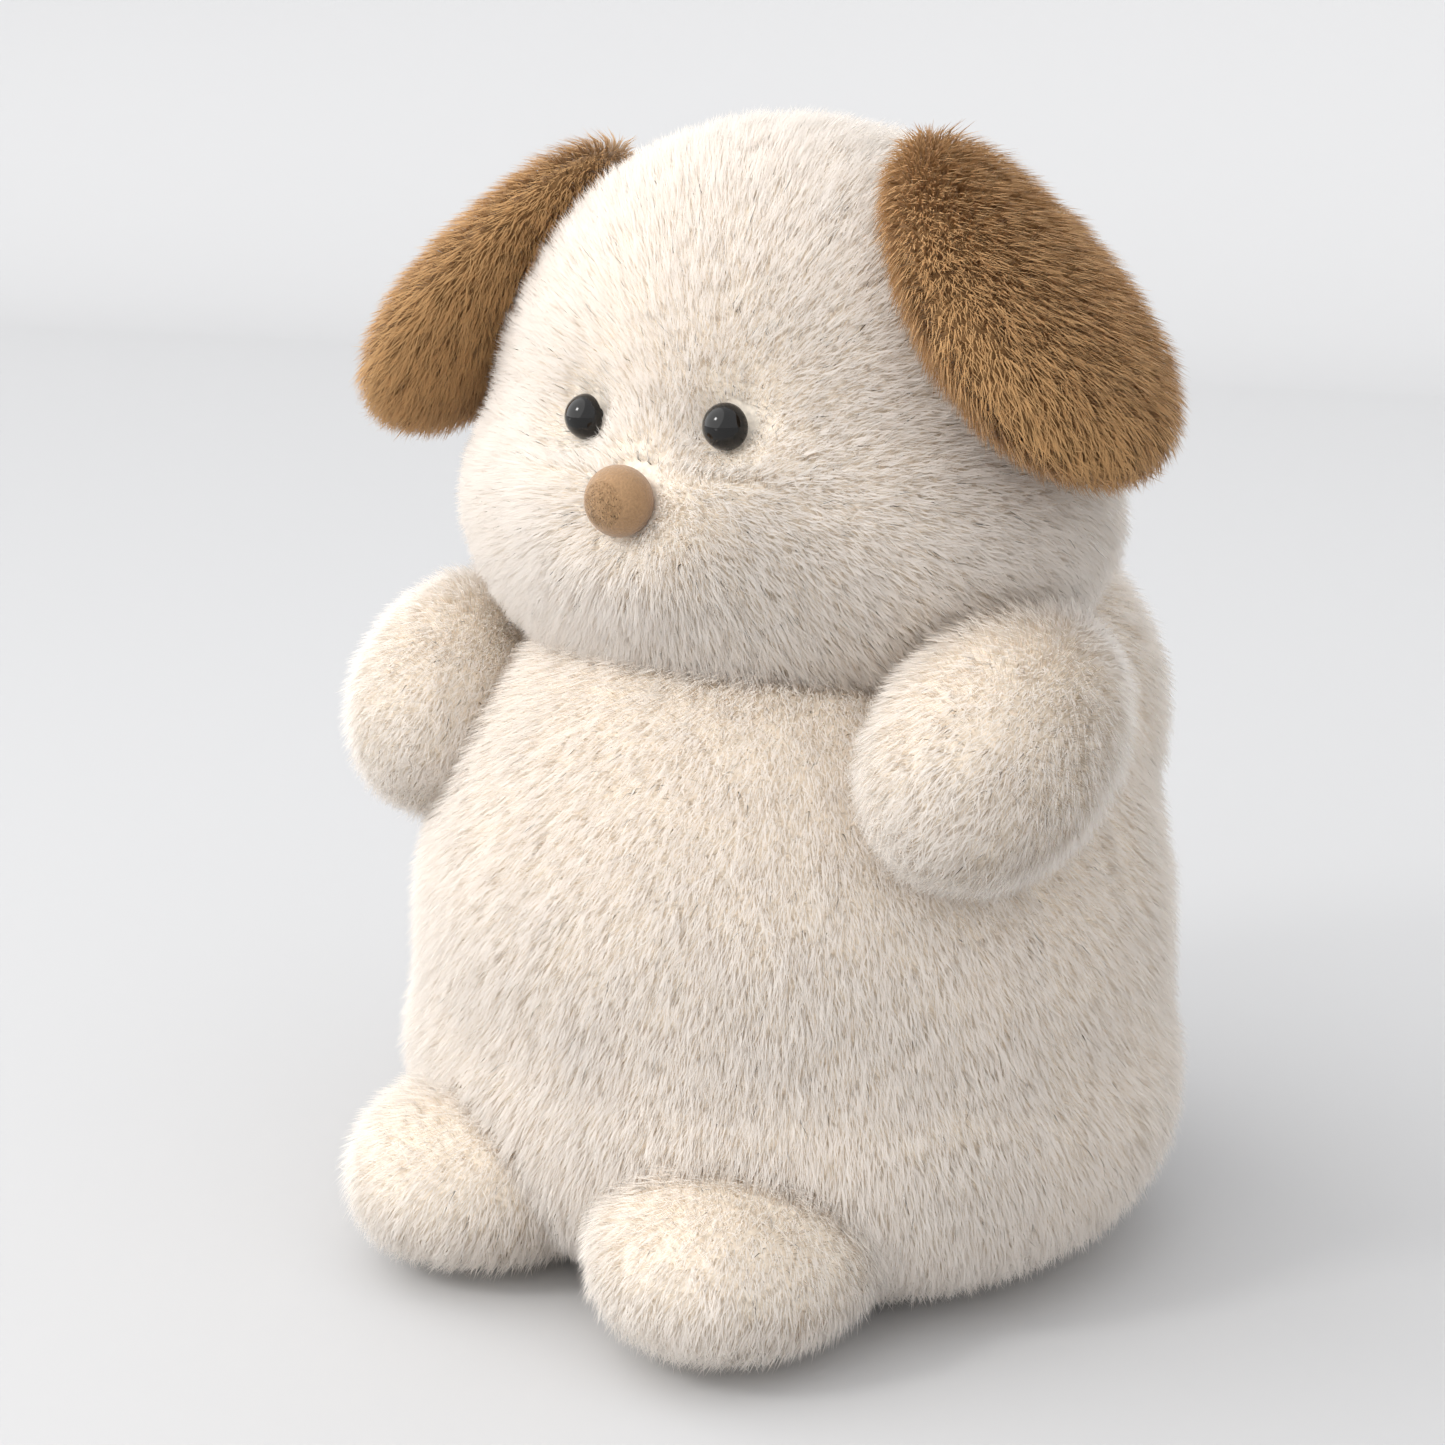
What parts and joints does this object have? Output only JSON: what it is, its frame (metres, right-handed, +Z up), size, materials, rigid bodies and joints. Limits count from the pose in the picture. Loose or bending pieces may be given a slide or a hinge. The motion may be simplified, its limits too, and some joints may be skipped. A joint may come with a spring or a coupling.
{
  "type": "plush dog",
  "caption": "Seated plush dog with a big round head, hanging brown ears, plastic eyes, a velour nose, stub arms and short feet.",
  "frame": {"origin": "on the table, on the base panel under the middle of the body", "axes": "+Z up, -Y the way the dog faces, +X the dog's left"},
  "size_m": [0.2418, 0.2399, 0.309],
  "materials": {
    "cream_plush": "matte",
    "brown_plush": "matte",
    "nose_velour": "matte",
    "stuffing": "matte",
    "bag_cloth": "matte",
    "pellets": "satin",
    "eye_plastic": "gloss",
    "washer_plastic": "satin",
    "thread": "matte"
  },
  "bodies": {
    "torso": {"body_front_panel": "cream_plush", "body_back_left_panel": "cream_plush", "body_back_right_panel": "cream_plush", "body_base_panel": "cream_plush", "body_stuffing": "stuffing", "pellet_bag": "bag_cloth", "pellet_fill": "pellets", "back_closing_thread": "thread"},
    "head": {"head_face_panel": "cream_plush", "head_left_panel": "cream_plush", "head_right_panel": "cream_plush", "head_back_panel": "cream_plush", "head_stuffing": "stuffing", "eye_left": "eye_plastic", "eye_right": "eye_plastic", "eye_washer_left": "washer_plastic", "eye_washer_right": "washer_plastic", "eye_pull_thread": "thread", "nose_cover": "nose_velour", "nose_stuffing": "stuffing", "neck_gather_thread": "thread"},
    "ear_left": {"left_ear_outer_panel": "brown_plush", "left_ear_lining": "brown_plush", "left_ear_stuffing": "stuffing"},
    "ear_right": {"right_ear_outer_panel": "brown_plush", "right_ear_lining": "brown_plush", "right_ear_stuffing": "stuffing"},
    "arm_left": {"left_arm_outer_panel": "cream_plush", "left_arm_inner_panel": "cream_plush", "left_arm_stuffing": "stuffing"},
    "arm_right": {"right_arm_outer_panel": "cream_plush", "right_arm_inner_panel": "cream_plush", "right_arm_stuffing": "stuffing"},
    "leg_left": {"left_foot_upper_panel": "cream_plush", "left_foot_sole": "cream_plush", "left_leg_stuffing": "stuffing"},
    "leg_right": {"right_foot_upper_panel": "cream_plush", "right_foot_sole": "cream_plush", "right_leg_stuffing": "stuffing"},
    "tail": {"tail_left_panel": "cream_plush", "tail_right_panel": "cream_plush", "tail_stuffing": "stuffing"}
  },
  "joints": [
    {"name": "head_turn", "type": "hinge", "parent": "torso", "child": "head", "pos_m": [0, 0.009, 0.165], "axis": [0, 0, 1], "range_deg": [-8, 8], "stiffness_Nm_per_rad": 0.3},
    {"name": "ear_left_lift", "type": "hinge", "parent": "head", "child": "ear_left", "pos_m": [0.047, -0.005, 0.304], "axis": [0.0995, -0.995, 0], "range_deg": [0, 60], "stiffness_Nm_per_rad": 0.012},
    {"name": "ear_right_lift", "type": "hinge", "parent": "head", "child": "ear_right", "pos_m": [-0.047, -0.005, 0.304], "axis": [0.0995, 0.995, 0], "range_deg": [0, 60], "stiffness_Nm_per_rad": 0.012},
    {"name": "arm_left_swing", "type": "hinge", "parent": "torso", "child": "arm_left", "pos_m": [0.091, 0.006, 0.16], "axis": [0, 0, 1], "range_deg": [0, 25], "stiffness_Nm_per_rad": 0.02},
    {"name": "arm_right_swing", "type": "hinge", "parent": "torso", "child": "arm_right", "pos_m": [-0.087, 0.006, 0.15], "axis": [0, 0, -1], "range_deg": [0, 25], "stiffness_Nm_per_rad": 0.02},
    {"name": "leg_left_lift", "type": "hinge", "parent": "torso", "child": "leg_left", "pos_m": [0.042, -0.062, 0.054], "axis": [-0.9889, -0.1483, 0], "range_deg": [0, 20], "stiffness_Nm_per_rad": 0.03},
    {"name": "leg_right_lift", "type": "hinge", "parent": "torso", "child": "leg_right", "pos_m": [-0.042, -0.062, 0.054], "axis": [-0.9889, 0.1483, 0], "range_deg": [0, 20], "stiffness_Nm_per_rad": 0.03},
    {"name": "tail_lift", "type": "hinge", "parent": "torso", "child": "tail", "pos_m": [0, 0.113, 0.053], "axis": [1, 0, 0], "range_deg": [0, 20], "stiffness_Nm_per_rad": 0.004}
  ]
}
